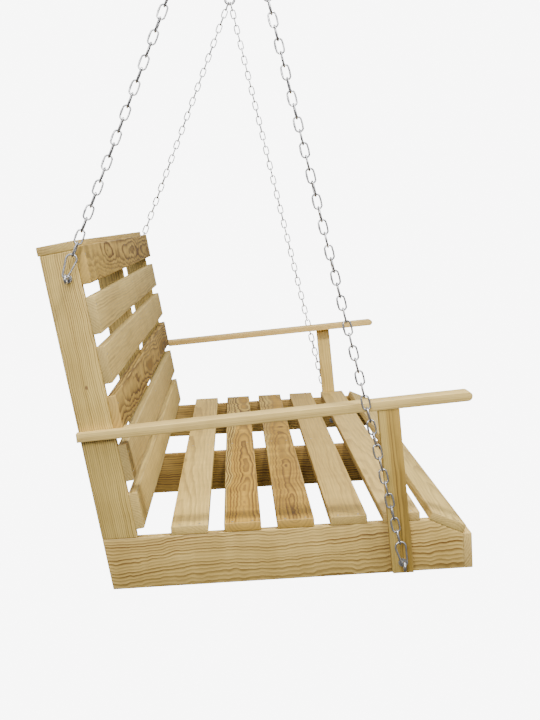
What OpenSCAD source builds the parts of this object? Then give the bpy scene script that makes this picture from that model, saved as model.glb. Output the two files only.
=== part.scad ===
// Porch swing: a slatted pine bench that hangs on four welded-link chains from two ceiling hangers.
// X runs along the bench, its front faces -Y and +Z is up. The origin lies in the ceiling plane,
// midway between the hangers. The bench is drawn level in its own frame, with y = 0 and z = 0 at the
// rear bottom corner of the side rails, and hang() then places it below the hangers.

/* [Bench] */
// Length of the bench, which is the length of every slat
bench_len = 1500; // [1200:10:1800]
// Height of a side rail
rail_h = 98; // [85:1:120]
// Length of a side rail along its bottom edge
rail_len = 665; // [560:5:800]
// Thickness of the rails and the uprights
frame_t = 20; // [18:1:30]
// Width of a slat
slat_w = 70; // [55:1:85]
// Thickness of a slat
slat_t = 17; // [14:0.5:22]

/* [Seat] */
// From the rail's rear bottom corner forward to the first seat slat
seat_rear = 115; // [95:1:140]
// Gap between the last flat slat and the sloping front slat, at rail height
front_gap = 17; // [5:1:30]
// Downward slope of the front slat
front_tilt = 25.3; // [10:0.1:35]

/* [Back] */
// Backward recline of the uprights
recline = 8.1; // [4:0.1:14]
// Depth of an upright, front to back
upright_d = 65; // [50:1:80]
// Length of an upright along its rear edge, from the rail's bottom edge up
upright_len = 637; // [560:1:760]
// Height of the lowest back slat's bottom edge, along the upright
back_foot = 105; // [104:1:125]
// How far the highest back slat rises above the upright's top
back_rise = 5; // [0:0.5:12]
// Width of the cap board
cap_w = 68; // [66:1:90]

/* [Arms] */
// Slope of the armrests, up towards the front
arm_tilt = 2.8; // [0:0.1:6]
// Height of the armrest's top face above the rail's bottom edge, at y = 0
arm_z = 307; // [260:1:340]
// Width of an armrest
arm_w = 45; // [36:1:60]
// How far an armrest stands out past the rail's outer face
arm_out = 18; // [18:0.5:19]
// From y = 0 forward to the armrest's front end
arm_reach = 690; // [620:5:760]
// From y = 0 back to the armrest's rear end
arm_back = 46; // [40:1:60]
// Radius of the armrest's front corners, seen from above
arm_corner = 10; // [2:1:16]
// From y = 0 forward to the arm post's rear edge, at the rail's bottom
post_y = 527; // [480:1:560]
// Width of an arm post
post_w = 40; // [34:1:50]
// Height of the post's foot above the rail's bottom edge
post_foot = 3; // [0:0.5:10]

/* [Chain] */
// Links in each front chain, an odd number so that both end links stand the same way
front_links = 55; // [47:2:63]
// Links in each rear chain, an odd number
rear_links = 33; // [29:2:39]
// Wire diameter of a link
link_wire = 3.5; // [3:0.1:4]
// Inside length of a link
link_inner = 23.6; // [22:0.1:26]
// Outside width of a link
link_w = 18; // [16.5:0.1:20]
// How far the bench's rear dips when it hangs in balance below its hangers
hang_lean = 3.31; // [0:0.01:8]

/* [Hardware] */
// How far in from the bench's ends the ceiling hangers stand
hanger_inset = 10; // [5:1:12]
// Distance between a hanger's two screw holes
hanger_holes = 80; // [60:1:100]
// Radius of a hanger's screw holes
hanger_hole_r = 4.5; // [3:0.1:6]
// Height of the eye above the rail's bottom edge, at the arm post
eye_z = 24; // [18:1:40]
// Height of the eye along the upright
eye_up = 588; // [520:1:600]
// Depth of the eye on the upright, from its rear edge
eye_in = 42; // [20:1:50]
// From the wood's face out to the eye's centre
eye_out = 25; // [22:1:32]
// Radius of the eye ring, at the middle of its wire
eye_r = 7; // [7:0.1:8]
// Wire radius of the eye ring
eye_wire = 2.5; // [2:0.1:2.5]
// Radius of the eye bolt's shank
bolt_r = 3; // [2.5:0.1:3.5]

/* [Hidden] */
$fn = 32;

pine = [0.76, 0.67, 0.49];
zinc = [0.72, 0.73, 0.74];

half = bench_len / 2;
hanger_span = bench_len - 2 * hanger_inset;
rail_xs = [-half + frame_t / 2, 0, half - frame_t / 2];

// The sloping front slat lies on a cut across the rail's upper front corner
front_run = slat_w * cos(front_tilt);
front_drop = slat_w * sin(front_tilt);
cut_y = rail_len - front_run;
apron_h = rail_h - front_drop;

seat_count = 5;
seat_pitch = (cut_y - front_gap - slat_w - seat_rear) / (seat_count - 1);
back_count = 6;
back_pitch = (upright_len + back_rise - slat_w - back_foot) / (back_count - 1);

// A point in the side view, "up" along the upright's rear edge and "fwd" square to it
function back_pt(up, fwd) = [up * sin(recline) - fwd * cos(recline), up * cos(recline) + fwd * sin(recline)];

// Arm posts stand square to the armrests, so both share one tilt
post_shift = tan(arm_tilt);
arm_under = arm_z - slat_t / cos(arm_tilt);
post_mid_y = post_y + post_w / 2 - eye_z * post_shift;

// Wood screws
screw_r = 1.75;
screw_head_r = 3;
screw_head_h = 1.8;
screw_tip_r = 0.4;
screw_len = 35;
screw_spread = 38;
// The cap screws stand behind the back slats' screws, and the apron screws below the front slat's
cap_screw_mid = 20;
cap_spread = 18;
apron_screw_low = 14;
apron_spread = 26;
// The lap's screws, each as a share of the rail's height and of the upright's depth
lap_places = [[0.22, 0.3], [0.5, 0.7], [0.78, 0.3]];
lap_screw_len = frame_t - 3;
// The post's screws, down from the rail's top, and the armrest's, along its length
post_screw_down = [14, 38];
post_screw_len = 32;
arm_post_spread = 20;
arm_screw_ys = [26, -6];
arm_screw_len = 34;
screw_clear = 0.05;

// Eye bolts
washer_r = 8;
washer_t = 1.6;
nut_r = 5.77;
nut_t = 5;
bolt_clear = 0.3;
bolt_tail = 4;

// Snap hooks, as wire radius, bend radii at the wire's middle, and the distance between the bends.
// Their straight legs are a hair thicker than the bends, and lap over the bends' ends.
small_wire = 1.8;
small_narrow = 5.2;
small_wide = 9.6;
small_span = 30;
top_wire = 4;
top_narrow = 9;
top_wide = 14;
top_span = 49;
play = 0.2;
leg_lap = 0.3;
leg_swell = 0.05;

// Ceiling hangers
plate_x = 44;
plate_y = 120;
plate_t = 5;
plate_corner = 6;
staple_wire = 4;
staple_leg = 14;
staple_bend = 8;
staple_drop = 32;
bar_z = -plate_t - staple_drop;
bar_play = 0.3;
hook_top_gap = top_narrow - top_wire - staple_wire - bar_play;

// Each chain starts at the top of its eye ring, and all measures along it count from there
link_play = 0.1;
link_r = link_wire / 2;
link_bend = (link_w - link_wire) / 2;
link_span = link_inner + link_wire;
link_pitch = link_inner - link_play;
hook_lift = small_narrow - small_wire - eye_wire - play;
first_link = hook_lift + small_span + small_wide - small_wire - link_r - play;
last_link = top_wide - top_wire - link_r - play;
function chain_len(links) = first_link + (links - 1) * link_pitch + link_span + last_link;

// Tops of the eye rings, in the bench's frame, for the left side
eye_front = [-half - slat_t - eye_out, -post_mid_y, eye_z + eye_r];
eye_rear = [-half - eye_out, back_pt(eye_up, eye_in).x, back_pt(eye_up, eye_in).y + eye_r];

// The two chains of a side and the line between their eyes are a triangle with its apex in the top hook
reach_f = sqrt(pow(chain_len(front_links), 2) - pow(eye_front.x + hanger_span / 2, 2));
reach_r = sqrt(pow(chain_len(rear_links), 2) - pow(eye_rear.x + hanger_span / 2, 2));
base_v = [eye_rear.y - eye_front.y, eye_rear.z - eye_front.z];
base_len = norm(base_v);
foot = (reach_f * reach_f - reach_r * reach_r + base_len * base_len) / (2 * base_len);
rise = sqrt(reach_f * reach_f - foot * foot);
apex = [-hanger_span / 2,
    eye_front.y + (foot * base_v.x - rise * base_v.y) / base_len,
    eye_front.z + (foot * base_v.y + rise * base_v.x) / base_len];
apex_z = bar_z - hook_top_gap - top_span;

// ---- Placing ----

// The bench's frame, hung below the hangers with its rear dipped by hang_lean
module hang() {
    translate([0, 0, apex_z])
        rotate([-hang_lean, 0, 0])
            translate([0, -apex.y, -apex.z])
                children();
}

// side is -1 for the left end of the bench and 1 for the right one
module on_side(side) {
    if (side < 0) children();
    else mirror([1, 0, 0]) children();
}

// A side-view outline, in Y and Z, made into a board from x0 inwards
module board(x0, thick, outline) {
    translate([x0, 0, 0]) rotate([90, 0, 90]) linear_extrude(thick) polygon(outline);
}

// The back's own frame, z up along the uprights and -y out of their front faces
module on_back() {
    rotate([-recline, 0, 0]) children();
}

// The seat's slats count from the rear; the last one lies on the front cut
module on_seat(slat) {
    if (slat <= seat_count)
        translate([0, -seat_rear - (slat - 1) * seat_pitch, rail_h]) children();
    else
        translate([0, -cut_y, rail_h]) rotate([front_tilt, 0, 0]) children();
}

// The armrest's own frame, z square to its top face, which lies at z = 0
module on_arm() {
    translate([0, 0, arm_z]) rotate([-arm_tilt, 0, 0]) children();
}

// A chain's own frame: z from the top of its eye ring to the apex, x square to the hook's plane
module on_chain(from) {
    way = apex - from;
    across = norm([way.y, way.z]);
    translate(from) rotate([atan2(-way.y, way.z), 0, 0]) rotate([0, atan2(way.x, across), 0]) children();
}

// ---- Fastenings ----

// A countersunk wood screw, its head flush with z = 0 and its point down; grow makes its hole
module screw(length = screw_len, grow = 0) {
    translate([0, 0, -screw_head_h]) cylinder(h = screw_head_h, r1 = screw_r + grow, r2 = screw_head_r + grow);
    translate([0, 0, -length + screw_r]) cylinder(h = length - screw_r - screw_head_h, r = screw_r + grow);
    translate([0, 0, -length]) cylinder(h = screw_r, r1 = screw_tip_r, r2 = screw_r + grow);
}

// Two screws in a slat where it crosses a rail
module slat_pair(grow = 0) {
    for (s = [-1, 1])
        translate([0, -slat_w / 2 + s * screw_spread / 2, slat_t]) screw(grow = grow);
}

module seat_row(slat, grow = 0) {
    on_seat(slat) for (x = rail_xs) translate([x, 0, 0]) slat_pair(grow);
}

module back_row(slat, grow = 0) {
    on_back() translate([0, -upright_d, back_slat_z(slat)]) rotate([90, 0, 0])
        for (x = rail_xs) translate([x, slat_w, 0]) slat_pair(grow);
}

module cap_pair(x, grow = 0) {
    on_back() for (s = [-1, 1])
        translate([x, -cap_screw_mid + s * cap_spread / 2, upright_len + slat_t]) screw(grow = grow);
}

module cap_row(grow = 0) {
    for (x = rail_xs) cap_pair(x, grow);
}

module apron_pair(x, grow = 0) {
    for (z = [apron_screw_low, apron_screw_low + apron_spread])
        translate([x, -rail_len - slat_t, z]) rotate([90, 0, 0]) screw(grow = grow);
}

module apron_row(grow = 0) {
    for (x = rail_xs) apron_pair(x, grow);
}

// Screws through the half lap between a rail and its upright; inner is the x of the inner face
module lap_set(inner, grow = 0) {
    for (place = lap_places)
        translate([inner, back_pt(rail_h * place.x, upright_d * place.y).x, rail_h * place.x])
            rotate([0, 90, 0]) screw(lap_screw_len, grow);
}

// Screws out through the left rail into the post
module post_pair(grow = 0) {
    for (down = post_screw_down)
        translate([-half + frame_t, -post_y - post_w / 2 + (rail_h - down) * post_shift, rail_h - down])
            rotate([0, 90, 0]) screw(post_screw_len, grow);
}

// Screws for the left armrest, two down into the post and two out through the upright
module arm_set(grow = 0) {
    over_post = -post_y - post_w / 2 + arm_z * post_shift;
    for (s = [-1, 1])
        on_arm() translate([-half - slat_t / 2, over_post + s * arm_post_spread / 2, 0]) screw(grow = grow);
    for (y = arm_screw_ys)
        on_arm() translate([-half + frame_t, y, -slat_t / 2]) rotate([0, 90, 0]) screw(arm_screw_len, grow);
}

// The straight hole or shank of an eye bolt, from x0 inwards by length
module eye_line(front, x0, length, r) {
    at = front ? eye_front : eye_rear;
    translate([x0, at.y, at.z - eye_r]) rotate([0, 90, 0]) cylinder(h = length, r = r);
}

// ---- Wood ----

function back_slat_z(slat) = upright_len + back_rise - slat_w - (slat - 1) * back_pitch;

// The upright's outline between two heights in the side view
function upright_foot(z) = [[z * tan(recline), z], [z * tan(recline) - upright_d / cos(recline), z]];

rail_outline = [[0, 0], [rail_h * tan(recline), rail_h], [-cut_y, rail_h],
    [-rail_len, apron_h], [-rail_len, 0]];
lap_outline = [upright_foot(0)[0], upright_foot(rail_h)[0], upright_foot(rail_h)[1], upright_foot(0)[1]];
upright_outline = [upright_foot(rail_h)[0], back_pt(upright_len, 0), back_pt(upright_len, upright_d),
    upright_foot(rail_h)[1]];

// The rail carries the seat slats and takes the upright's tongue in a half lap on its inner side
module rail(x0) {
    difference() {
        board(x0, frame_t, rail_outline);
        board(x0 + frame_t / 2, frame_t, lap_outline);
        lap_set(x0 + frame_t, screw_clear);
        for (slat = [1 : seat_count + 1])
            on_seat(slat) translate([x0 + frame_t / 2, 0, 0]) slat_pair(screw_clear);
        apron_pair(x0 + frame_t / 2, screw_clear);
    }
}

// The upright stands flush on the rail, with a tongue of half its thickness down to the rail's bottom
module upright(x0) {
    difference() {
        union() {
            board(x0, frame_t, upright_outline);
            board(x0 + frame_t / 2, frame_t / 2, lap_outline);
        }
        lap_set(x0 + frame_t, screw_clear);
        for (slat = [1 : back_count])
            on_back() translate([x0 + frame_t / 2, -upright_d, back_slat_z(slat) + slat_w])
                rotate([90, 0, 0]) slat_pair(screw_clear);
        cap_pair(x0 + frame_t / 2, screw_clear);
    }
}

module side_rail(side) {
    hang() color(pine) on_side(side) difference() {
        rail(-half);
        post_pair(screw_clear);
        eye_line(true, -half - 1, frame_t + 2, bolt_r + bolt_clear);
    }
}

module rail_middle() {
    hang() color(pine) rail(-frame_t / 2);
}

module side_upright(side) {
    hang() color(pine) on_side(side) difference() {
        upright(-half);
        arm_set(screw_clear);
        eye_line(false, -half - 1, frame_t + 2, bolt_r + bolt_clear);
    }
}

module upright_middle() {
    hang() color(pine) upright(-frame_t / 2);
}

module top_cap() {
    hang() color(pine) difference() {
        on_back() translate([-half, -upright_d, upright_len]) cube([bench_len, cap_w, slat_t]);
        cap_row(screw_clear);
    }
}

module back_slat(slat) {
    hang() color(pine) difference() {
        on_back() translate([-half, -upright_d - slat_t, back_slat_z(slat)]) cube([bench_len, slat_t, slat_w]);
        back_row(slat, screw_clear);
    }
}

module seat_slat(slat) {
    hang() color(pine) difference() {
        on_seat(slat) translate([-half, -slat_w, 0]) cube([bench_len, slat_w, slat_t]);
        seat_row(slat, screw_clear);
    }
}

module front_apron() {
    hang() color(pine) difference() {
        translate([-half, -rail_len - slat_t, 0]) cube([bench_len, slat_t, apron_h]);
        apron_row(screw_clear);
    }
}

// The post stands on the rail's outer face, from near its bottom edge up to the armrest
module arm_post(side) {
    low = -post_y + post_foot * post_shift;
    high_z = (arm_under + post_y * post_shift) / (1 + post_shift * post_shift);
    front_z = (arm_under + (post_y + post_w) * post_shift) / (1 + post_shift * post_shift);
    hang() color(pine) on_side(side) difference() {
        board(-half - slat_t, slat_t, [[low, post_foot], [-post_y + high_z * post_shift, high_z],
            [-post_y - post_w + front_z * post_shift, front_z], [low - post_w, post_foot]]);
        post_pair(screw_clear);
        arm_set(screw_clear);
        eye_line(true, -half - slat_t - 1, slat_t + 2, bolt_r + bolt_clear);
    }
}

// The armrest is notched round the upright and the back slats, and rounded at its front corners
module armrest(side) {
    inner = arm_w - arm_out;
    hang() color(pine) on_side(side) difference() {
        on_arm() translate([0, 0, -slat_t]) linear_extrude(slat_t) union() {
            translate([-half - arm_out, -arm_reach + arm_corner])
                square([arm_w, arm_reach + arm_back - arm_corner]);
            translate([-half - arm_out + arm_corner, -arm_reach]) square([arm_w - 2 * arm_corner, arm_corner]);
            for (x = [-half - arm_out + arm_corner, -half + inner - arm_corner])
                translate([x, -arm_reach + arm_corner]) circle(arm_corner);
        }
        on_back() translate([-half, -upright_d - slat_t, 0])
            cube([arm_w, upright_d + slat_t + 2 * arm_back, upright_len]);
        arm_set(screw_clear);
    }
}

module seat_screws() {
    hang() color(zinc) for (slat = [1 : seat_count + 1]) seat_row(slat);
}

module back_screws() {
    hang() color(zinc) for (slat = [1 : back_count]) back_row(slat);
}

module cap_screws() {
    hang() color(zinc) cap_row();
}

module lap_screws() {
    hang() color(zinc) {
        for (side = [-1, 1]) on_side(side) lap_set(-half + frame_t);
        lap_set(frame_t / 2);
    }
}

module apron_screws() {
    hang() color(zinc) apron_row();
}

module armrest_screws() {
    hang() color(zinc) for (side = [-1, 1]) on_side(side) arm_set();
}

module post_screws() {
    hang() color(zinc) for (side = [-1, 1]) on_side(side) post_pair();
}

// ---- Eye bolts ----

// face is the x of the wood's outer face, and grip the wood that the bolt passes through
module eye_bolt(side, front) {
    at = front ? eye_front : eye_rear;
    grip = front ? slat_t + frame_t : frame_t;
    hang() color(zinc) on_side(side) {
        translate([at.x, at.y, at.z - eye_r]) rotate([90, 0, 0])
            rotate_extrude() translate([eye_r, 0]) circle(eye_wire);
        eye_line(front, at.x + eye_r, eye_out - eye_r + grip + washer_t + nut_t + bolt_tail, bolt_r);
    }
}

module eye_washers() {
    hang() color(zinc) for (side = [-1, 1], front = [true, false]) on_side(side)
        for (x = [-half - washer_t - (front ? slat_t : 0), -half + frame_t])
            difference() {
                eye_line(front, x, washer_t, washer_r);
                eye_line(front, x - 1, washer_t + 2, bolt_r + bolt_clear);
            }
}

module eye_nuts() {
    hang() color(zinc) for (side = [-1, 1], front = [true, false]) on_side(side) {
        at = front ? eye_front : eye_rear;
        difference() {
            translate([-half + frame_t + washer_t, at.y, at.z - eye_r]) rotate([0, 90, 0])
                cylinder(h = nut_t, r = nut_r, $fn = 6);
            eye_line(front, -half + frame_t + washer_t - 1, nut_t + 2, bolt_r + screw_clear);
        }
    }
}

// ---- Snap hooks ----
// A hook is drawn in its Y-Z plane, its narrow bend round the origin and its wide bend span above.
// The gate closes its -Y side. Every part of the gate is in proportion to the wire.

// A round wire bent about the x axis, from angle a0 through sweep, counted from +y towards +z
module bent_wire(radius, wire, a0, sweep) {
    rotate([90, 0, 90]) rotate([0, 0, a0]) rotate_extrude(angle = sweep) translate([radius, 0]) circle(wire);
}

function hook_lean(narrow, wide, span) = asin((wide - narrow) / span);
function side_len(narrow, wide, span) = sqrt(span * span - pow(wide - narrow, 2));
function pivot_up(wire) = 1.4 * wire;
function nose_len(wire) = 2 * wire;
// A flat tongue on the hook stands in the gate's slot, and a pin goes through both
bar_share = 0.9;
tongue_share = 0.4;
slot_share = 0.46;
pin_share = 0.4;
tongue_hole_share = 0.42;
gate_hole_share = 0.44;

// The frame of the gate's side: z from the narrow bend up to the wide one, along the wire's middle
module on_gate_side(narrow, wide, span) {
    lean = hook_lean(narrow, wide, span);
    translate([0, -narrow * cos(lean), -narrow * sin(lean)]) rotate([lean, 0, 0]) children();
}

module snap_hook(wire, narrow, wide, span) {
    lean = hook_lean(narrow, wide, span);
    reach = side_len(narrow, wide, span);
    pivot = pivot_up(wire);
    bent_wire(narrow, wire, 180 + lean, 180 - 2 * lean);
    translate([0, 0, span]) bent_wire(wide, wire, -lean, 180 + 2 * lean);
    translate([0, narrow * cos(lean), -narrow * sin(lean)]) rotate([-lean, 0, 0]) translate([0, 0, -leg_lap])
        cylinder(h = reach + 2 * leg_lap, r = wire + leg_swell);
    on_gate_side(narrow, wide, span) {
        translate([0, 0, reach - nose_len(wire)]) cylinder(h = nose_len(wire) + leg_lap, r = wire + leg_swell);
        difference() {
            union() {
                translate([0, 0, -leg_lap]) cylinder(h = pivot - 1.3 * wire + leg_lap, r = wire + leg_swell);
                intersection() {
                    cylinder(h = pivot + bar_share * wire, r = bar_share * wire);
                    translate([-tongue_share * wire, -wire, 0])
                        cube([2 * tongue_share * wire, 2 * wire, pivot + bar_share * wire]);
                }
            }
            translate([-wire, 0, pivot]) rotate([0, 90, 0])
                cylinder(h = 2 * wire, r = tongue_hole_share * wire);
        }
    }
}

module hook_gate(wire, narrow, wide, span) {
    reach = side_len(narrow, wide, span);
    pivot = pivot_up(wire);
    tip = reach - nose_len(wire) - 0.14 * wire;
    on_gate_side(narrow, wide, span) difference() {
        translate([0, 0, pivot - 0.8 * wire]) cylinder(h = tip - pivot + 0.8 * wire, r = bar_share * wire);
        translate([-slot_share * wire, -wire, 0]) cube([2 * slot_share * wire, 2 * wire, pivot + 1.35 * wire]);
        translate([-wire, 0, pivot]) rotate([0, 90, 0]) cylinder(h = 2 * wire, r = gate_hole_share * wire);
    }
}

module gate_pin(wire, narrow, wide, span) {
    on_gate_side(narrow, wide, span) translate([-0.85 * wire, 0, pivot_up(wire)])
        rotate([0, 90, 0]) cylinder(h = 1.7 * wire, r = pin_share * wire);
}

module on_small_hook(front) {
    on_chain(front ? eye_front : eye_rear) translate([0, 0, hook_lift]) children();
}

// The top hook hangs with its narrow bend over the staple's bar and its wide bend down
module on_top_hook() {
    translate([-hanger_span / 2, 0, bar_z - hook_top_gap]) rotate([0, 180, 0]) children();
}

module small_hook(side, front) {
    hang() color(zinc) on_side(side) on_small_hook(front)
        snap_hook(small_wire, small_narrow, small_wide, small_span);
}

module small_gate(side, front) {
    hang() color(zinc) on_side(side) on_small_hook(front)
        hook_gate(small_wire, small_narrow, small_wide, small_span);
}

module top_hook(side) {
    color(zinc) on_side(side) on_top_hook() snap_hook(top_wire, top_narrow, top_wide, top_span);
}

module top_gate(side) {
    color(zinc) on_side(side) on_top_hook() hook_gate(top_wire, top_narrow, top_wide, top_span);
}

module gate_pins() {
    hang() color(zinc) for (side = [-1, 1], front = [true, false]) on_side(side) on_small_hook(front)
        gate_pin(small_wire, small_narrow, small_wide, small_span);
    color(zinc) for (side = [-1, 1]) on_side(side) on_top_hook()
        gate_pin(top_wire, top_narrow, top_wide, top_span);
}

// ---- Chains ----

// One link in the X-Z plane, from the middle of its lower end's wire at z = 0 upwards
module link() {
    straight = link_span - 2 * link_bend;
    for (x = [-link_bend, link_bend])
        translate([x, 0, link_bend]) cylinder(h = straight, r = link_r);
    for (end = [0, 1])
        translate([0, 0, link_bend + end * straight]) rotate([90, 0, 0]) rotate([0, 0, 180 - 180 * end])
            rotate_extrude(angle = 180) translate([link_bend, 0]) circle(link_r);
}

module chain(side, front) {
    hang() color(zinc) on_side(side) on_chain(front ? eye_front : eye_rear)
        for (i = [0 : (front ? front_links : rear_links) - 1])
            translate([0, 0, first_link + i * link_pitch]) rotate([0, 0, 90 * (i % 2)]) link();
}

// ---- Ceiling hangers ----

module hanger_plate(side) {
    color(zinc) on_side(side) translate([-hanger_span / 2, 0, -plate_t]) difference() {
        linear_extrude(plate_t) union() {
            square([plate_x, plate_y - 2 * plate_corner], center = true);
            square([plate_x - 2 * plate_corner, plate_y], center = true);
            for (x = [-1, 1], y = [-1, 1])
                translate([x * (plate_x / 2 - plate_corner), y * (plate_y / 2 - plate_corner)])
                    circle(plate_corner);
        }
        for (y = [-1, 1])
            translate([0, y * hanger_holes / 2, -1]) cylinder(h = plate_t + 2, r = hanger_hole_r);
    }
}

// A round bar bent to a U and welded under the plate; the hook swings round its straight bottom
module hanger_staple(side) {
    color(zinc) on_side(side) translate([-hanger_span / 2, 0, bar_z]) {
        translate([-staple_leg + staple_bend, 0, 0]) rotate([0, 90, 0])
            cylinder(h = 2 * (staple_leg - staple_bend), r = staple_wire);
        for (s = [0, 1]) mirror([s, 0, 0]) {
            translate([staple_leg, 0, staple_bend]) cylinder(h = staple_drop - staple_bend, r = staple_wire);
            translate([staple_leg - staple_bend, 0, staple_bend]) rotate([90, 0, 0]) rotate([0, 0, -90])
                rotate_extrude(angle = 90) translate([staple_bend, 0]) circle(staple_wire);
        }
    }
}

hanger_plate(-1);  // hanger_plate_left
hanger_plate(1);  // hanger_plate_right
hanger_staple(-1);  // hanger_staple_left
hanger_staple(1);  // hanger_staple_right
side_rail(-1);  // rail_left
rail_middle();
side_rail(1);  // rail_right
side_upright(-1);  // upright_left
upright_middle();
side_upright(1);  // upright_right
top_cap();
back_slat(1);  // back_slat_1
back_slat(2);  // back_slat_2
back_slat(3);  // back_slat_3
back_slat(4);  // back_slat_4
back_slat(5);  // back_slat_5
back_slat(6);  // back_slat_6
seat_slat(1);  // seat_slat_1
seat_slat(2);  // seat_slat_2
seat_slat(3);  // seat_slat_3
seat_slat(4);  // seat_slat_4
seat_slat(5);  // seat_slat_5
seat_slat(seat_count + 1);  // front_slat
front_apron();
arm_post(-1);  // arm_post_left
arm_post(1);  // arm_post_right
armrest(-1);  // armrest_left
armrest(1);  // armrest_right
eye_bolt(-1, true);  // eye_bolt_front_left
eye_bolt(1, true);  // eye_bolt_front_right
eye_bolt(-1, false);  // eye_bolt_rear_left
eye_bolt(1, false);  // eye_bolt_rear_right
eye_washers();
eye_nuts();
seat_screws();
back_screws();
cap_screws();
lap_screws();
apron_screws();
armrest_screws();
post_screws();
small_hook(-1, true);  // snap_hook_front_left
small_hook(1, true);  // snap_hook_front_right
small_hook(-1, false);  // snap_hook_rear_left
small_hook(1, false);  // snap_hook_rear_right
small_gate(-1, true);  // gate_front_left
small_gate(1, true);  // gate_front_right
small_gate(-1, false);  // gate_rear_left
small_gate(1, false);  // gate_rear_right
top_hook(-1);  // top_hook_left
top_hook(1);  // top_hook_right
top_gate(-1);  // top_gate_left
top_gate(1);  // top_gate_right
gate_pins();
chain(-1, true);  // chain_front_left
chain(1, true);  // chain_front_right
chain(-1, false);  // chain_rear_left
chain(1, false);  // chain_rear_right
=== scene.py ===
import bpy
import math
import random
from mathutils import Matrix, Vector


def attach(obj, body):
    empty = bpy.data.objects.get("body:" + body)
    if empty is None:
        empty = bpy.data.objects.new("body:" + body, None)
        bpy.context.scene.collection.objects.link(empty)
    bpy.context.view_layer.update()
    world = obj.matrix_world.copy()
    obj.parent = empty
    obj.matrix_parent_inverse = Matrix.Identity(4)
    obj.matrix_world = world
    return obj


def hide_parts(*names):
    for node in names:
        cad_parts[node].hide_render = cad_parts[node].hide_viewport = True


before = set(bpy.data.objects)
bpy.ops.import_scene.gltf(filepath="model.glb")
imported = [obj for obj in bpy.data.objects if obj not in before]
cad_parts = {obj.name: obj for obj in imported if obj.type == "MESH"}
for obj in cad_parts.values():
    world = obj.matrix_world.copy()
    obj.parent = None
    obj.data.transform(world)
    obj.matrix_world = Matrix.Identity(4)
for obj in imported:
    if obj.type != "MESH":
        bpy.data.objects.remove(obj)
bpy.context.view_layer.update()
bpy.ops.object.select_all(action="DESELECT")

# ---- Camera ----
# It stands two metres off the left end of the bench, at the height of the back, looking slightly down.

camera_turn = [math.radians(angle) for angle in (82.82, -0.27, -91.94)]
bpy.ops.object.camera_add(location=(-2.786, -0.0074, -0.7552), rotation=camera_turn)
camera = bpy.context.object
camera.data.lens = 55.7
camera.data.sensor_width = 36
camera.data.sensor_fit = "AUTO"
camera.data.clip_start = 0.02
camera.data.clip_end = 200
bpy.context.scene.camera = camera

# ---- Studio ----
# A pale floor under the swing, a white room all round, and three soft lamps: one high on the front's
# side for the shape, one behind the camera to lift the shaded ends, and a small one above the near
# end for the armrest's soft shadow on the slats.

floor_height, floor_size = -1.87, 80
floor_glow = 0.13
seen_white = 8.0


def plain_white(tree, output, lit):
    """The camera sees plain white there, and the swing is lit by what lit gives."""
    path = tree.nodes.new("ShaderNodeLightPath")
    kind = "ShaderNodeBackground" if output.bl_idname == "ShaderNodeOutputWorld" else "ShaderNodeEmission"
    white = tree.nodes.new(kind)
    white.inputs["Color"].default_value = (1.0, 1.0, 1.0, 1)
    white.inputs["Strength"].default_value = seen_white
    choice = tree.nodes.new("ShaderNodeMixShader")
    tree.links.new(path.outputs["Is Camera Ray"], choice.inputs[0])
    tree.links.new(lit.outputs[0], choice.inputs[1])
    tree.links.new(white.outputs[0], choice.inputs[2])
    tree.links.new(choice.outputs[0], output.inputs["Surface"])


bpy.ops.mesh.primitive_plane_add(size=floor_size, location=(0, 0, floor_height))
floor = bpy.context.object
floor.name = "studio_floor"
paint = bpy.data.materials.new("studio_floor")
paint.use_nodes = True
paint.node_tree.nodes.remove(paint.node_tree.nodes["Principled BSDF"])
glow = paint.node_tree.nodes.new("ShaderNodeEmission")
glow.inputs["Color"].default_value = (1.0, 0.98, 0.94, 1)
glow.inputs["Strength"].default_value = floor_glow
plain_white(paint.node_tree, paint.node_tree.nodes["Material Output"], glow)
floor.data.materials.append(paint)

# The room is dim at eye level and bright overhead, which gives the bent wire its dark edges
room = bpy.data.worlds.new("studio_room")
bpy.context.scene.world = room
room.use_nodes = True
walls = room.node_tree.nodes["Background"]
way = room.node_tree.nodes.new("ShaderNodeTexCoord")
parts = room.node_tree.nodes.new("ShaderNodeSeparateXYZ")
height = room.node_tree.nodes.new("ShaderNodeMapRange")
height.inputs["From Min"].default_value = -1.0
shades = room.node_tree.nodes.new("ShaderNodeValToRGB")
for stop, level in ((0.0, 0.18), (0.44, 0.26), (0.56, 0.36), (0.70, 0.78), (1.0, 0.80)):
    mark = shades.color_ramp.elements.new(stop)
    mark.color = (level, level, level, 1)
shades.color_ramp.elements.remove(shades.color_ramp.elements[0])
shades.color_ramp.elements.remove(shades.color_ramp.elements[-1])
room.node_tree.links.new(way.outputs["Generated"], parts.inputs[0])
room.node_tree.links.new(parts.outputs["Z"], height.inputs["Value"])
room.node_tree.links.new(height.outputs["Result"], shades.inputs[0])
room.node_tree.links.new(shades.outputs[0], walls.inputs["Color"])
plain_white(room.node_tree, room.node_tree.nodes["World Output"], walls)


def soft_lamp(name, place, aim, size, power):
    bpy.ops.object.light_add(type="AREA", location=place)
    lamp = bpy.context.object
    lamp.name = name
    lamp.data.shape = "DISK"
    lamp.data.size = size
    lamp.data.energy = power
    lamp.rotation_euler = (Vector(aim) - Vector(place)).to_track_quat("-Z", "Y").to_euler()


soft_lamp("front_lamp", (-2.0, -3.0, 2.4), (0, 0, -1.1), 1.4, 125)
soft_lamp("end_lamp", (-4.5, 0.9, 0.6), (-0.7, 0, -1.1), 1.8, 125)
soft_lamp("top_lamp", (-1.43, -0.5, 1.6), (-0.5, -0.3, -1.3), 0.4, 85)

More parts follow.
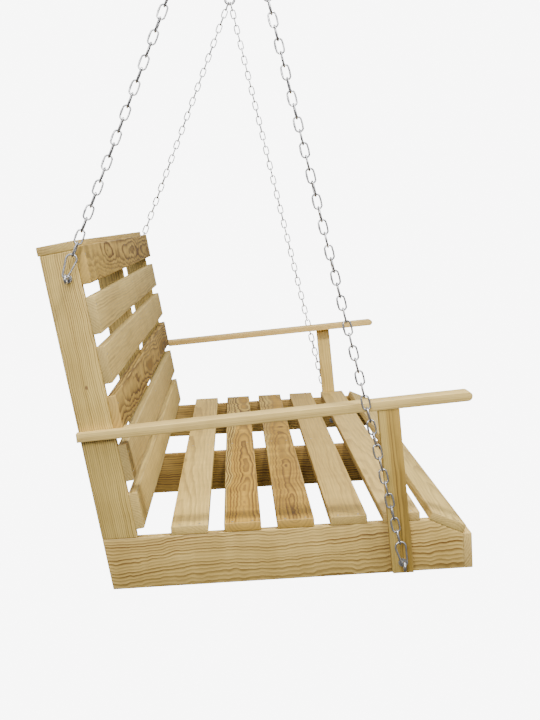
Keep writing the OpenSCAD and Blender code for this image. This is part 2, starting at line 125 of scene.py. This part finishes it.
# ---- Side rails ----
# Three boards of planed, pressure-treated pine on edge carry the seat. Their rear ends are cut to the
# slope of the uprights, and their upper front corners are cut away for the sloping front slat. Each
# board is sawn from its own place in a log, so its figure comes from growth rings round a pith.


class Flow:
    """A socket of a material. Sums and products of flows add Math nodes."""

    def __init__(self, socket):
        self.socket = socket

    def node(self, kind, settings=None, links=None, out=0):
        made = self.socket.id_data.nodes.new(kind)
        for name, value in (settings or {}).items():
            setattr(made, name, value)
        for place, value in (links or {}).items():
            if isinstance(value, Flow):
                self.socket.id_data.links.new(value.socket, made.inputs[place])
            else:
                made.inputs[place].default_value = value
        return Flow(made.outputs[out])

    def maths(self, operation, first, second=0.0):
        return self.node("ShaderNodeMath", {"operation": operation}, {0: first, 1: second})

    def __add__(self, other):
        return self.maths("ADD", self, other)

    def __radd__(self, other):
        return self.maths("ADD", other, self)

    def __sub__(self, other):
        return self.maths("SUBTRACT", self, other)

    def __rsub__(self, other):
        return self.maths("SUBTRACT", other, self)

    def __mul__(self, other):
        return self.maths("MULTIPLY", self, other)

    def __rmul__(self, other):
        return self.maths("MULTIPLY", other, self)

    def __truediv__(self, other):
        return self.maths("DIVIDE", self, other)

    def __pow__(self, other):
        return self.maths("POWER", self, other)

    def __abs__(self):
        return self.maths("ABSOLUTE", self)

    def between(self, low, high):
        return self.node("ShaderNodeMapRange", {"interpolation_type": "SMOOTHSTEP"},
                         {"Value": self, "From Min": low, "From Max": high})

    def tint(self, one, other):
        return self.node("ShaderNodeMix", {"data_type": "RGBA"}, {0: self, 6: one, 7: other}, out=2)


def blank(name):
    material = bpy.data.materials.new(name)
    material.use_nodes = True
    return material, Flow(material.node_tree.nodes["Principled BSDF"].outputs[0])


# The bench hangs with its rear dipped a little, in balance below the place where its chains meet.
# apex_y and apex_z are that place in the bench's own frame, and apex_height is its height as hung.
lean = math.radians(-3.31)
apex_y, apex_z, apex_height = -0.293698, 1.34675, -0.0867
hang = Matrix.Translation((0, 0, apex_height)) @ Matrix.Rotation(lean, 4, "X") \
    @ Matrix.Translation((0, -apex_y, -apex_z))
along = {"x": Matrix.Identity(4), "y": Matrix.Rotation(math.pi / 2, 4, "Z"),
         "z": Matrix.Rotation(-math.pi / 2, 4, "Y")}


def pine(name, place, size, grain="x", pith=(0.05, -0.06), drift=(0.0, 0.0), ring=0.0045, wander=0.006,
         waves=1.6, heart=(0.42, 0.225, 0.030), heart_r=0.0, depth=0.6, mottle=0.3, curl_sheen=0.08, band=1.3,
         shade=(1, 1, 1), tip=(0.50, 0.36, 0.13), tip_share=0.25, knots=(), seed=0):
    """Pine whose rings, ring wide, run round pith, a place across the board that drifts along it."""
    pale, late = (0.69, 0.50, 0.150), (0.13, 0.060, 0.006)
    # The third colour on the next line is the arrises' pale, partly rubbed wear and partly a painted
    # highlight
    blotch, knot_brown, worn_and_highlight_pale = (0.27, 0.145, 0.022), (0.16, 0.085, 0.035), (0.74, 0.57, 0.25)
    edge_out, edge_in = 0.001, 0.004
    material, flow = blank(name)
    length, width, thick = {"x": size, "y": (size[1], size[0], size[2]),
                            "z": (size[2], size[1], size[0])}[grain]
    frame_of_board = place @ along[grain]
    spin = frame_of_board.to_euler("XYZ")
    point = flow.node("ShaderNodeTexCoord", out=3)
    local = flow.node("ShaderNodeMapping", {"vector_type": "TEXTURE"},
                      {"Vector": point, "Location": frame_of_board.translation, "Rotation": spin})
    axes = local.node("ShaderNodeSeparateXYZ", links={0: local})
    x, y, z = (Flow(axes.socket.node.outputs[i]) for i in range(3))

    def noise(stretch, scale, detail=2.0, rough=0.5, out=0, shift=0.0):
        spread = local.node("ShaderNodeMapping", {}, {"Vector": local, "Scale": stretch,
                            "Location": (seed * 3.7 + shift, seed * 1.3 - shift, seed * 2.1)})
        return local.node("ShaderNodeTexNoise", {}, {"Vector": spread, "Scale": scale, "Detail": detail,
                          "Roughness": rough}, out=out)

    # Growth rings round a pith that wanders along the log
    sway = noise((waves, 6.0, 6.0), 1.0, 2.0)
    roll = noise((waves * 1.3, 6.0, 6.0), 1.0, 1.0, shift=9.0)
    ripple = noise((waves * 9.0, 20.0, 20.0), 1.0, 1.0, shift=15.0)
    ry = y - pith[0] + x * drift[0] + (sway - 0.5) * (2 * wander) + (ripple - 0.5) * (0.35 * wander)
    rz = z - pith[1] + x * drift[1] + (roll - 0.5) * (2 * wander) + (ripple - 0.5) * (0.35 * wander)
    for knot_x, knot_y, knot_r in knots:
        near = ((x - knot_x) * (x - knot_x) * 0.35 + (y - knot_y) * (y - knot_y)) / (knot_r * knot_r)
        bulge = near.maths("EXPONENT", near * -0.9)
        rz = rz + bulge * knot_r * 1.6
    radius = (ry * ry + rz * rz) ** 0.5
    uneven = noise((2.0, 10.0, 10.0), 3.0, 2.0, shift=4.0)
    turns = radius / ring + (uneven - 0.5) * 1.6
    phase = turns.maths("FRACT", turns)
    wood_late = phase.between(0.20, 0.88) ** band * (1.0 - phase.between(0.90, 1.0))
    year = turns.maths("FLOOR", turns)
    strength = year.node("ShaderNodeTexWhiteNoise", {"noise_dimensions": "1D"}, {"W": year + seed * 7.3})
    fibres = noise((7.0, 300.0, 300.0), 1.0, 3.0, 0.65)
    soft = noise((1.6, 12.0, 12.0), 1.0, 3.0, 0.6, shift=2.0)
    grown = wood_late * (strength * 0.6 + 0.4) * (0.6 + soft.between(0.3, 0.7) * 0.7)
    colour = (grown * depth).tint((*pale, 1), (*late, 1))
    if heart_r > 0:
        inner = 1.0 - (radius + (soft - 0.5) * 0.015).between(heart_r * 0.86, heart_r * 1.04)
        deep = grown.tint((*heart, 1), (heart[0] * 0.15, heart[1] * 0.12, heart[2] * 0.10, 1))
        colour = (inner * (0.65 + soft * 0.35)).tint(colour, deep)
    blot = soft.between(0.35, 0.75) * mottle
    colour = (blot * 0.8).tint(colour, (*blotch, 1))
    # Where the fibres wave, lighter and darker bands run across the grain: the figure with a painted sheen
    curl_sheen_bands = noise((22.0, 5.0, 5.0), 1.0, 2.0, 0.6, shift=21.0)
    # Fibre streaks darken along the grain, and the curl adds fixed bands of painted sheen across it
    streak_sheen = fibres.between(0.25, 0.8) * (1.0 - curl_sheen) + (curl_sheen_bands - 0.5) * (curl_sheen * 10.0)
    dark_streak_sheen = [share * tone for share, tone in zip((0.80, 0.77, 0.70), shade)]
    pale_streak_sheen = [1.10 * tone for tone in shade]
    colour = streak_sheen.node("ShaderNodeMix", {"data_type": "RGBA", "blend_type": "MULTIPLY"},
                         {0: 1.0, 6: colour, 7: streak_sheen.tint((*dark_streak_sheen, 1), (*pale_streak_sheen, 1))}, out=2)
    ends = abs(x).between(length / 2 - 0.004, length / 2 - 0.0015)
    colour = (ends * tip_share).tint(colour, (*tip, 1))
    # The arrises are painted paler in places: partly rubbed wear, partly a painted highlight on the edges
    worn_and_highlight_mask = abs(y).between(width / 2 - edge_in, width / 2 - edge_out) \
        * abs(z).between(thick / 2 - edge_in, thick / 2 - edge_out)
    colour = (worn_and_highlight_mask * soft.between(0.4, 0.8) * 0.45).tint(colour, (*worn_and_highlight_pale, 1))
    for knot_x, knot_y, knot_r in knots:
        near = ((x - knot_x) * (x - knot_x) * 0.5 + (y - knot_y) * (y - knot_y)) ** 0.5
        core = 1.0 - near.between(knot_r * 0.25, knot_r * 0.75)
        colour = (core * 0.85).tint(colour, (*knot_brown, 1))
    shader = material.node_tree.nodes["Principled BSDF"]
    links = material.node_tree.links
    links.new(colour.socket, shader.inputs["Base Color"])
    rough = 0.62 - wood_late * 0.08 + (fibres - 0.5) * 0.12
    links.new(rough.socket, shader.inputs["Roughness"])
    relief = wood_late * 0.5 + fibres * 0.5
    bump = relief.node("ShaderNodeBump", {}, {"Strength": 0.35, "Distance": 0.0005, "Height": relief})
    links.new(bump.socket, shader.inputs["Normal"])
    shader.inputs["Specular IOR Level"].default_value = 0.35
    return material


def board(node, size, centre, turn=0.0, cuts=(), grain="x", **figure):
    """A planed board with eased arrises, in the bench's own frame. cuts are planes across it."""
    place = hang @ Matrix.Translation(centre) @ Matrix.Rotation(math.radians(turn), 4, "X")
    bpy.ops.object.select_all(action="DESELECT")
    bpy.ops.mesh.primitive_cube_add(size=1)
    piece = bpy.context.object
    piece.name = node + "_wood"
    piece.scale = size
    bpy.ops.object.transform_apply(scale=True)
    if cuts:
        bpy.ops.object.mode_set(mode="EDIT")
        for point, normal in cuts:
            bpy.ops.mesh.select_all(action="SELECT")
            bpy.ops.mesh.bisect(plane_co=point, plane_no=normal, use_fill=True, clear_outer=True)
        bpy.ops.object.mode_set(mode="OBJECT")
    finish_board(piece, node, place)
    piece.data.materials.append(pine("pine_" + node, place, size, grain, **figure))


def finish_board(piece, node, place):
    """Eases the board's arrises, sets it at place in its mesh, and lets it stand for its node."""
    round_over = piece.modifiers.new("eased_arrises", "BEVEL")
    round_over.width = 0.0018
    round_over.segments = 3
    round_over.limit_method = "ANGLE"
    round_over.angle_limit = math.radians(25)
    bpy.ops.object.select_all(action="DESELECT")
    bpy.context.view_layer.objects.active = piece
    piece.select_set(True)
    bpy.ops.object.modifier_apply(modifier=round_over.name)
    piece.matrix_world = place
    bpy.ops.object.transform_apply(location=True, rotation=True, scale=True)
    bpy.ops.object.shade_smooth_by_angle(angle=math.radians(35))
    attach(piece, "bench")
    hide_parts(node)


bench_len = 1.500
rail_t, rail_h, rail_len = 0.020, 0.098, 0.665
rail_x = bench_len / 2 - rail_t / 2
spare = 0.01
recline = math.radians(8.1)
front_tilt = math.radians(25.3)
slat_w, slat_t = 0.070, 0.017
cut_y = rail_len - slat_w * math.cos(front_tilt)

rail_tone = {"left": dict(pith=(-0.035, -0.080), drift=(0.0, 0.035), seed=3, shade=(1.07, 1.05, 1.07),
                          curl_sheen=0.16, band=0.75, depth=1.0, wander=0.013, waves=5.5, ring=0.0056),
             "middle": dict(pith=(-0.03, -0.075), drift=(0.0, -0.03), seed=11, depth=1.0, wander=0.010,
                            waves=5.0, ring=0.0052, mottle=0.5, band=0.7, shade=(0.67, 0.56, 0.40)),
             "right": dict(pith=(-0.04, -0.08), seed=17, depth=0.9, wander=0.010, waves=4.0, ring=0.0052,
                           mottle=0.5, band=0.7, shade=(0.9, 0.8, 0.7))}
for side, x in (("left", -rail_x), ("middle", 0.0), ("right", rail_x)):
    back = Vector((0, -spare, 0))
    rear = Vector((0, rail_len / 2, -rail_h / 2)) + back
    nose = Vector((0, rail_len / 2 - cut_y, rail_h / 2)) + back
    front = Vector((0, -rail_len / 2, 0)) + back
    board("rail_" + side, (rail_t, rail_len + 2 * spare, rail_h), (x, -rail_len / 2 + spare, rail_h / 2),
          cuts=[(rear, (0, math.cos(recline), -math.sin(recline))),
                (nose, (0, -math.sin(front_tilt), math.cos(front_tilt))), (front, (0, -1, 0))],
          grain="y", **rail_tone[side])

# ---- Uprights ----
# Three pine boards that carry the back, flush with the rails' faces and leaning back. They are
# half-lapped to the rails and screwed. The lap is out of sight, so here each starts above its rail.

upright_d, upright_len = 0.065, 0.637
upright_tone = {"left": dict(pith=(0.13, -0.03), seed=23, shade=(1.08, 1.08, 1.05), depth=0.95, ring=0.0036,
                             wander=0.011, waves=6.0, knots=[(0.067, 0.0, 0.0055)]),
                "middle": dict(pith=(0.05, 0.07), seed=29), "right": dict(pith=(0.06, 0.05), seed=31)}
for side, x in (("left", -rail_x), ("middle", 0.0), ("right", rail_x)):
    sole = Matrix.Rotation(-recline, 4, "X") @ Vector((0, -upright_d / 2, upright_len / 2))
    seat_line = (rail_h - sole.z) / math.cos(recline)
    board("upright_" + side, (rail_t, upright_d, upright_len), (x, sole.y, sole.z),
          turn=-math.degrees(recline), grain="z",
          cuts=[((0, 0, seat_line), (0, math.sin(recline), -math.cos(recline)))], **upright_tone[side])

# ---- Seat slats and apron ----
# Five flat pine boards screwed down on the rails, and a sixth on the sloping cut at the front. The
# apron closes the rails' front ends below it. Two of the boards hold darker heartwood.

seat_rear, seat_pitch = 0.115, 0.0999286
dark_tip = (0.60, 0.38, 0.09)
seat_tone = [dict(pith=(0.03, -0.07), drift=(0, 0.01), seed=41, depth=0.45, shade=(1.12, 1.10, 1.05)),
             dict(pith=(-0.012, -0.012), drift=(0.006, 0.030), seed=43, heart_r=0.038, depth=1.5,
                  ring=0.0060, band=1.0, heart=(0.54, 0.300, 0.026), wander=0.014, waves=4.0, curl_sheen=0.3,
                  shade=(0.96, 0.93, 0.70), tip=dark_tip, tip_share=0.5),
             dict(pith=(-0.006, -0.010), drift=(0.012, 0.026), seed=47, heart_r=0.040, depth=1.4,
                  ring=0.0064, band=1.0, heart=(0.51, 0.290, 0.030), mottle=0.9, wander=0.015, waves=4.0,
                  curl_sheen=0.4, shade=(0.98, 0.96, 0.75), tip=dark_tip, tip_share=0.5),
             dict(pith=(-0.05, -0.06), drift=(0.01, 0), seed=53, depth=0.4, shade=(0.85, 0.80, 0.71)),
             dict(pith=(0.03, -0.09), drift=(0, 0.02), seed=59, depth=0.4, shade=(1.0, 0.97, 0.98))]
for count, tone in enumerate(seat_tone):
    y = -seat_rear - count * seat_pitch - slat_w / 2
    board(f"seat_slat_{count + 1}", (bench_len, slat_w, slat_t), (0, y, rail_h + slat_t / 2), **tone)

edge = Vector((0, -cut_y, rail_h)) \
    + Matrix.Rotation(front_tilt, 3, "X") @ Vector((0, -slat_w / 2, slat_t / 2))
board("front_slat", (bench_len, slat_w, slat_t), edge, turn=math.degrees(front_tilt),
      pith=(-0.02, -0.05), drift=(0.01, 0.02), seed=61, depth=0.5)

apron_h = rail_h - slat_w * math.sin(front_tilt)
board("front_apron", (bench_len, slat_t, apron_h), (0, -rail_len - slat_t / 2, apron_h / 2),
      pith=(0.06, 0.03), drift=(0.01, 0.01), seed=67, depth=0.5, shade=(1.15, 1.15, 1.3))

# ---- Back slats and cap ----
# Six pine boards screwed to the fronts of the uprights, the highest one touching the cap board that
# is screwed down on their tops. Two of them hold darker heartwood.

back_foot, back_rise, cap_w = 0.105, 0.005, 0.068
back_count = 6
back_pitch = (upright_len + back_rise - slat_w - back_foot) / (back_count - 1)
back_heart, back_tip = (0.38, 0.225, 0.045), (0.62, 0.40, 0.10)
back_tone = [dict(pith=(0.030, 0.006), drift=(0.012, 0.03), seed=71, depth=1.0, heart_r=0.032,
                  heart=back_heart, wander=0.014, waves=4.0, ring=0.006, curl_sheen=0.3, band=1.0,
                  shade=(0.77, 0.71, 0.58), tip=back_tip, tip_share=0.6),
             dict(pith=(0.05, -0.06), seed=73, depth=0.4, shade=(0.95, 0.98, 1.15)),
             dict(pith=(0.06, 0.05), seed=79, depth=0.4, shade=(0.88, 0.89, 1.0)),
             dict(pith=(0.028, -0.004), drift=(0.014, 0.03), seed=83, depth=1.0, heart_r=0.036,
                  heart=back_heart, wander=0.014, waves=3.5, ring=0.006, curl_sheen=0.3, band=1.0,
                  shade=(0.66, 0.60, 0.50), tip=back_tip, tip_share=0.6),
             dict(pith=(0.05, -0.05), seed=89, depth=0.4, shade=(0.88, 0.89, 0.98)),
             dict(pith=(0.05, -0.08), seed=97, depth=0.5)]
reclined = Matrix.Rotation(-recline, 3, "X")
for count, tone in enumerate(back_tone):
    low = upright_len + back_rise - slat_w - count * back_pitch
    middle = reclined @ Vector((0, -upright_d - slat_t / 2, low + slat_w / 2))
    board(f"back_slat_{count + 1}", (bench_len, slat_t, slat_w), middle, turn=-math.degrees(recline), **tone)

middle = reclined @ Vector((0, -upright_d + cap_w / 2, upright_len + slat_t / 2))
board("top_cap", (bench_len, cap_w, slat_t), middle, turn=-math.degrees(recline),
      pith=(0.02, 0.08), drift=(0.01, 0.01), seed=101, depth=0.6, shade=(0.90, 0.88, 0.86))

# ---- Arm posts and armrests ----
# The pine posts stand on the rails' outer faces, square to the armrests. Each armrest is a board
# rounded at its front corners and notched round the upright and the back slats. Screws hold it to
# its post and to its upright.

arm_tilt = math.radians(2.8)
arm_z, arm_w, arm_out, arm_reach, arm_back, arm_corner = 0.307, 0.045, 0.018, 0.690, 0.046, 0.010
post_y, post_w, post_foot, post_uncut, post_mid = 0.527, 0.040, 0.003, 0.34, 0.16
post_x, post_middle_y = bench_len / 2 + slat_t / 2, -post_y - post_w / 2
notch_height, notch_z = 0.4, 0.3
arm_tone = {"left": dict(pith=(0.03, -0.05), seed=103, depth=0.35, ring=0.003, wander=0.003,
                         shade=(1.14, 1.15, 1.30)),
            "right": dict(pith=(0.03, -0.06), seed=107, depth=0.35, shade=(1.18, 1.15, 1.3))}
post_tone = {"left": dict(pith=(-0.014, -0.012), seed=109, depth=0.32, heart_r=0.031,
                          heart=(0.48, 0.30, 0.06), ring=0.0028, wander=0.003, shade=(0.90, 0.88, 0.74)),
             "right": dict(pith=(0.03, 0.05), seed=113)}
for side, s in (("left", -1), ("right", 1)):
    top = arm_z - slat_t / math.cos(arm_tilt)
    middle = Vector((s * post_x, post_middle_y + post_mid * math.tan(arm_tilt), post_mid))
    sole = (post_foot - post_mid) / math.cos(arm_tilt)
    head = (top - post_middle_y * math.tan(arm_tilt) - post_mid) * math.cos(arm_tilt)
    board("arm_post_" + side, (slat_t, post_w, post_uncut), middle, turn=-math.degrees(arm_tilt),
          cuts=[((0, 0, sole), (0, math.sin(arm_tilt), -math.cos(arm_tilt))), ((0, 0, head), (0, 0, 1))],
          grain="z", **post_tone[side])

    bpy.ops.object.select_all(action="DESELECT")
    bpy.ops.mesh.primitive_cube_add(size=1)
    rest = bpy.context.object
    rest.name = f"armrest_{side}_wood"
    rest.scale = (arm_w, arm_reach + arm_back, slat_t)
    bpy.ops.object.transform_apply(scale=True)
    bpy.ops.object.mode_set(mode="EDIT")
    bpy.ops.mesh.select_all(action="DESELECT")
    bpy.ops.object.mode_set(mode="OBJECT")
    for line in rest.data.edges:
        a, b = (rest.data.vertices[i].co for i in line.vertices)
        line.select = abs(a.z - b.z) > slat_t / 2 and a.y < 0
    bpy.ops.object.mode_set(mode="EDIT")
    bpy.ops.mesh.select_mode(type="EDGE")
    bpy.ops.mesh.bevel(offset=arm_corner, segments=5, affect="EDGES")
    bpy.ops.mesh.select_mode(type="VERT")
    bpy.ops.object.mode_set(mode="OBJECT")
    arm_x = s * (bench_len / 2 + arm_out - arm_w / 2)
    own = hang @ Matrix.Translation((arm_x, 0, arm_z)) @ Matrix.Rotation(-arm_tilt, 4, "X") \
        @ Matrix.Translation((0, (arm_back - arm_reach) / 2, -slat_t / 2))
    rest.matrix_world = own
    bpy.ops.object.transform_apply(location=True, rotation=True, scale=True)
    bpy.ops.mesh.primitive_cube_add(size=1)
    notch = bpy.context.object
    depth = upright_d + slat_t + 2 * arm_back
    notch_place = (s * (bench_len / 2 - arm_w / 2), -upright_d - slat_t + depth / 2, notch_z)
    notch.matrix_world = hang @ Matrix.Rotation(-recline, 4, "X") @ Matrix.Translation(notch_place) \
        @ Matrix.Diagonal((arm_w, depth, notch_height, 1))
    cut = rest.modifiers.new("notch", "BOOLEAN")
    cut.object = notch
    cut.operation = "DIFFERENCE"
    cut.solver = "EXACT"
    bpy.ops.object.select_all(action="DESELECT")
    bpy.context.view_layer.objects.active = rest
    rest.select_set(True)
    bpy.ops.object.modifier_apply(modifier="notch")
    bpy.data.objects.remove(notch)
    finish_board(rest, "armrest_" + side, Matrix.Identity(4))
    rest.data.materials.append(pine("pine_armrest_" + side, own, (arm_w, arm_reach + arm_back, slat_t),
                                    grain="y", **arm_tone[side]))

# ---- Eye bolts and snap hooks ----
# Bent steel wire and bar, zinc plated: a dull, slightly mottled grey with brighter rubbed places. The
# eye bolts go through the posts, rails and uprights, and the hooks' gates turn on pins.


def zinc(name, bright=(0.62, 0.62, 0.63), dull=(0.30, 0.30, 0.30), grain=260.0, smooth=0.26, seed=0.0):
    material, flow = blank(name)
    point = flow.node("ShaderNodeTexCoord", out=3)
    shifted = point.node("ShaderNodeMapping", {}, {"Vector": point, "Location": (seed, seed * 2, 0)})
    bloom = point.node("ShaderNodeTexNoise", {},
                       {"Vector": shifted, "Scale": 60.0, "Detail": 4.0, "Roughness": 0.6})
    grit = point.node("ShaderNodeTexNoise", {}, {"Vector": shifted, "Scale": grain * 6, "Detail": 2.0})
    worn = bloom.between(0.36, 0.64)
    colour = worn.tint((*dull, 1), (*bright, 1))
    shader = material.node_tree.nodes["Principled BSDF"]
    links = material.node_tree.links
    links.new(colour.socket, shader.inputs["Base Color"])
    rough = smooth + (1.0 - worn) * 0.22 + (grit - 0.5) * 0.1
    links.new(rough.socket, shader.inputs["Roughness"])
    bump = grit.node("ShaderNodeBump", {}, {"Strength": 0.25, "Distance": 0.0002, "Height": grit})
    links.new(bump.socket, shader.inputs["Normal"])
    shader.inputs["Metallic"].default_value = 0.9
    return material


plated = zinc("zinc_hardware")
for name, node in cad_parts.items():
    if name.split("_")[0] in ("eye", "snap", "gate", "top") and name != "top_cap":
        for index in range(len(node.data.materials)):
            node.data.materials[index] = plated

# ---- Ceiling hangers ----
# A flat steel plate with a welded staple of round bar, one over each end of the bench, zinc plated
# and duller than the hooks. Two holes in each plate take the screws up into a beam.

hanger_zinc = zinc("zinc_hangers", seed=5.0, smooth=0.38)
for name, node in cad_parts.items():
    if name.startswith("hanger_"):
        for index in range(len(node.data.materials)):
            node.data.materials[index] = hanger_zinc

# ---- Chains ----
# Each chain is a row of oval links of bent and butt-welded wire, zinc plated, and turned a quarter
# from one to the next. The front chains have 55 links and the rear ones 33.

chain_zinc = zinc("zinc_chain", bright=(0.64, 0.64, 0.65), dull=(0.34, 0.34, 0.35), seed=9.0, smooth=0.22)
wire, inner_len, link_w, link_play = 0.0035, 0.0236, 0.018, 0.0001
weld_reach, weld_swell, link_wobble = 0.0008, 1.2, 4
link_span, link_pitch = inner_len + wire, inner_len - link_play
bend = (link_w - wire) / 2
bpy.ops.object.select_all(action="DESELECT")
bpy.ops.mesh.primitive_torus_add(major_segments=16, minor_segments=8, major_radius=bend,
                                 minor_radius=wire / 2, rotation=(math.pi / 2, 0, 0))
link = bpy.context.object
bpy.ops.object.transform_apply(rotation=True)
stretch = (link_span - 2 * bend) / 2
for end in (-1, 1):
    bpy.ops.object.mode_set(mode="EDIT")
    bpy.ops.mesh.select_all(action="DESELECT")
    bpy.ops.object.mode_set(mode="OBJECT")
    for corner in link.data.vertices:
        turn = math.atan2(corner.co.z, corner.co.x)
        corner.select = end * corner.co.z > 0 and abs(math.sin(turn)) > 0.2
    bpy.ops.object.mode_set(mode="EDIT")
    bpy.ops.transform.translate(value=(0, 0, end * stretch))
    bpy.ops.object.mode_set(mode="OBJECT")
# The weld swells the middle of one straight side
bpy.ops.object.mode_set(mode="EDIT")
bpy.ops.mesh.select_all(action="DESELECT")
bpy.ops.object.mode_set(mode="OBJECT")
for corner in link.data.vertices:
    corner.select = corner.co.x > 0 and abs(corner.co.z) < weld_reach
bpy.ops.object.mode_set(mode="EDIT")
bpy.ops.transform.resize(value=[weld_swell] * 3, center_override=(bend, 0, 0))
bpy.ops.object.mode_set(mode="OBJECT")
link.data.materials.append(chain_zinc)
bpy.ops.object.shade_smooth()

first_link = 0.03655
apex = Vector((-rail_x, apex_y, apex_z))
eyes = {"front": (Vector((-0.792, -0.545826, 0.031)), 55),
        "rear": (Vector((-0.775, 0.0412689, 0.595052)), 33)}
random.seed(12)
for side, s in (("left", -1), ("right", 1)):
    for end, (eye, count) in eyes.items():
        way = apex - eye
        pitch = math.atan2(-way.y, way.z)
        sway = math.atan2(way.x, math.hypot(way.y, way.z))
        flip = Matrix.Scale(-1, 4, (1, 0, 0)) if s > 0 else Matrix.Identity(4)
        row = []
        for number in range(count):
            turned = math.radians(90 * (number % 2) + random.uniform(-link_wobble, link_wobble))
            copy = link.copy()
            copy.data = link.data.copy()
            bpy.context.collection.objects.link(copy)
            height = first_link + number * link_pitch + link_span / 2
            copy.matrix_world = hang @ flip @ Matrix.Translation(eye) @ Matrix.Rotation(pitch, 4, "X") \
                @ Matrix.Rotation(sway, 4, "Y") @ Matrix.Translation((0, 0, height)) \
                @ Matrix.Rotation(turned, 4, "Z")
            row.append(copy)
        bpy.ops.object.select_all(action="DESELECT")
        for copy in row:
            copy.select_set(True)
        bpy.context.view_layer.objects.active = row[0]
        bpy.ops.object.join()
        chain = bpy.context.object
        bpy.ops.object.transform_apply(location=True, rotation=True, scale=True)
        if s > 0:
            bpy.ops.object.mode_set(mode="EDIT")
            bpy.ops.mesh.select_all(action="SELECT")
            bpy.ops.mesh.normals_make_consistent(inside=False)
            bpy.ops.object.mode_set(mode="OBJECT")
        chain.name = f"chain_{end}_{side}_links"
        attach(chain, "bench")
        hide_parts(f"chain_{end}_{side}")
bpy.data.objects.remove(link)

# ---- Screws ----
# Zinc-plated countersunk wood screws. Only the heads show, a hair proud of the wood, each with a
# small round recess in its middle.

screw_zinc = zinc("zinc_screws", bright=(0.58, 0.58, 0.57), dull=(0.30, 0.29, 0.27), seed=13.0)
head_r, head_t, head_sunk, rim, recess = 0.0030, 0.0008, 0.0002, 0.0008, 0.0007
bpy.ops.object.select_all(action="DESELECT")
bpy.ops.mesh.primitive_cylinder_add(vertices=12, radius=head_r, depth=head_t, location=(0, 0, -head_sunk))
head = bpy.context.object
bpy.ops.object.transform_apply(location=True)
for face in head.data.polygons:
    face.select = face.normal.z > 0.9
bpy.ops.object.mode_set(mode="EDIT")
bpy.ops.mesh.select_mode(type="FACE")
bpy.ops.mesh.inset(thickness=rim)
bpy.ops.mesh.inset(thickness=recess, depth=-recess)
bpy.ops.object.mode_set(mode="OBJECT")
head.data.materials.append(screw_zinc)


def screw_heads(node, spots):
    row = []
    for spot in spots:
        copy = head.copy()
        copy.data = head.data.copy()
        bpy.context.collection.objects.link(copy)
        copy.matrix_world = hang @ spot @ Matrix.Rotation(random.uniform(0, 3.1), 4, "Z")
        row.append(copy)
    bpy.ops.object.select_all(action="DESELECT")
    for copy in row:
        copy.select_set(True)
    bpy.context.view_layer.objects.active = row[0]
    bpy.ops.object.join()
    heads = bpy.context.object
    bpy.ops.object.transform_apply(location=True, rotation=True, scale=True)
    heads.name = node + "_heads"
    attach(heads, "bench")
    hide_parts(node)


rail_xs, spread = (-rail_x, 0.0, rail_x), 0.019
cap_screw_y, cap_spread, apron_screw_zs = -0.020, 0.009, (0.014, 0.040)
lap_places, post_screw_down = ((0.22, 0.3), (0.5, 0.7), (0.78, 0.3)), (0.038, 0.014)
arm_post_spread, arm_screw_ys, inner_x = 0.010, (0.026, -0.006), rail_x - rail_t / 2
out_front = Matrix.Rotation(math.pi / 2, 4, "X")
seat_spots, back_spots = [], []
for count in range(back_count):
    if count < len(seat_tone):
        slat = Matrix.Translation((0, -seat_rear - count * seat_pitch - slat_w / 2, rail_h + slat_t))
    else:
        slat = Matrix.Translation((0, -cut_y, rail_h)) @ Matrix.Rotation(front_tilt, 4, "X") \
            @ Matrix.Translation((0, -slat_w / 2, slat_t))
    seat_spots += [slat @ Matrix.Translation((x, s * spread, 0)) for x in rail_xs for s in (-1, 1)]
    low = upright_len + back_rise - slat_w - count * back_pitch
    slat = Matrix.Rotation(-recline, 4, "X") @ Matrix.Translation((0, -upright_d - slat_t, low + slat_w / 2))
    back_spots += [slat @ Matrix.Translation((x, 0, s * spread)) @ out_front
                   for x in rail_xs for s in (-1, 1)]
screw_heads("seat_screws", seat_spots)
screw_heads("back_screws", back_spots)
screw_heads("cap_screws", [Matrix.Rotation(-recline, 4, "X")
                           @ Matrix.Translation((x, cap_screw_y + s * cap_spread, upright_len + slat_t))
                           for x in rail_xs for s in (-1, 1)])
screw_heads("apron_screws", [Matrix.Translation((x, -rail_len - slat_t, z)) @ out_front
                             for x in rail_xs for z in apron_screw_zs])
facing = {-1: Matrix.Rotation(math.pi / 2, 4, "Y"), 1: Matrix.Rotation(-math.pi / 2, 4, "Y")}
lap_spots = []
for x, s in ((-inner_x, -1), (rail_t / 2, -1), (inner_x, 1)):
    for up, across in lap_places:
        y = rail_h * up * math.sin(recline) - upright_d * across * math.cos(recline)
        lap_spots.append(Matrix.Translation((x, y, rail_h * up)) @ facing[s])
screw_heads("lap_screws", lap_spots)
post_spots = []
for s in (-1, 1):
    for down in post_screw_down:
        z = rail_h - down
        place = (s * inner_x, post_middle_y + z * math.tan(arm_tilt), z)
        post_spots.append(Matrix.Translation(place) @ facing[s])
screw_heads("post_screws", post_spots)
rest_top = Matrix.Translation((0, 0, arm_z)) @ Matrix.Rotation(-arm_tilt, 4, "X")
arm_spots = []
over_post = post_middle_y + arm_z * math.tan(arm_tilt)
for s in (-1, 1):
    arm_spots += [rest_top @ Matrix.Translation((s * post_x, over_post + k * arm_post_spread, 0))
                  for k in (-1, 1)]
    arm_spots += [rest_top @ Matrix.Translation((s * inner_x, y, -slat_t / 2)) @ facing[s]
                  for y in arm_screw_ys]
screw_heads("armrest_screws", arm_spots)
bpy.data.objects.remove(head)
